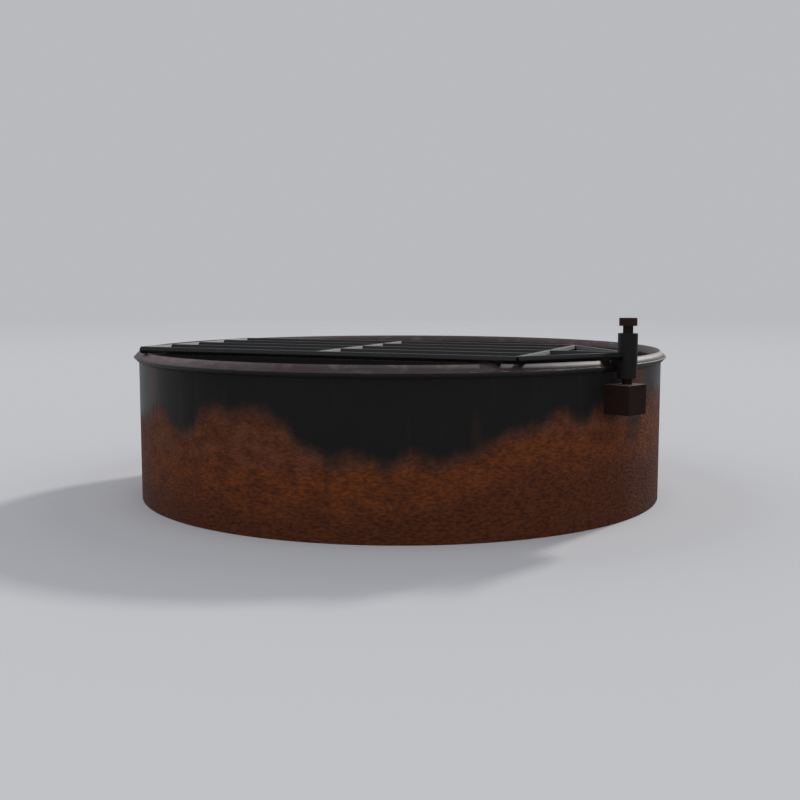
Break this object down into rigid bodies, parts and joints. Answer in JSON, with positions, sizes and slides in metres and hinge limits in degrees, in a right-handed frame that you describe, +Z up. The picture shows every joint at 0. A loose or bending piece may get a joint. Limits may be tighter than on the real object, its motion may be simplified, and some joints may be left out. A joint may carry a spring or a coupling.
{
  "type": "campfire ring",
  "caption": "Low round steel fire ring, open at top and bottom, with a capped rim and a barred cooking grate that swings and lifts on an upright pin at its side.",
  "frame": {"origin": "on the ring's axis, at the ground", "axes": "+Z up along the ring's axis; +X from the axis to the hinge pin of the grate"},
  "size_m": [0.9657, 0.9316, 0.3158],
  "materials": {
    "wall_steel": "rusted below, black with soot above",
    "rim_steel": "worn and lightly rusted",
    "grate_steel": "blackened, half gloss",
    "hinge_steel": "dark brown rust",
    "hardware": "dulled zinc, stained"
  },
  "bodies": {
    "ring": {"ring_wall": "wall_steel", "rim_hoop": "rim_steel", "hinge_block": "hinge_steel", "block_bolts": "hardware", "block_washers": "hardware"},
    "pivot": {"pivot_pin": "hinge_steel", "pin_washer": "hardware", "pin_nut": "hardware"},
    "grate": {"hinge_sleeve": "grate_steel", "front_bar": "grate_steel", "front_inner_bar": "grate_steel", "centre_bar": "grate_steel", "rear_inner_bar": "grate_steel", "rear_bar": "grate_steel", "near_crossbar": "grate_steel", "far_crossbar": "grate_steel", "middle_spacer_1": "grate_steel", "middle_spacer_2": "grate_steel", "middle_spacer_3": "grate_steel", "middle_spacer_4": "grate_steel", "centre_arm": "grate_steel", "front_arm": "grate_steel", "rear_arm": "grate_steel"}
  },
  "joints": [
    {"name": "grate_swing", "type": "hinge", "parent": "ring", "child": "pivot", "pos_m": [0.48105, 0, 0.2], "axis": [0, 0, 1], "continuous": true},
    {"name": "grate_lift", "type": "slide", "parent": "pivot", "child": "grate", "axis": [0, 0, 1], "range_m": [0, 0.0105]}
  ]
}
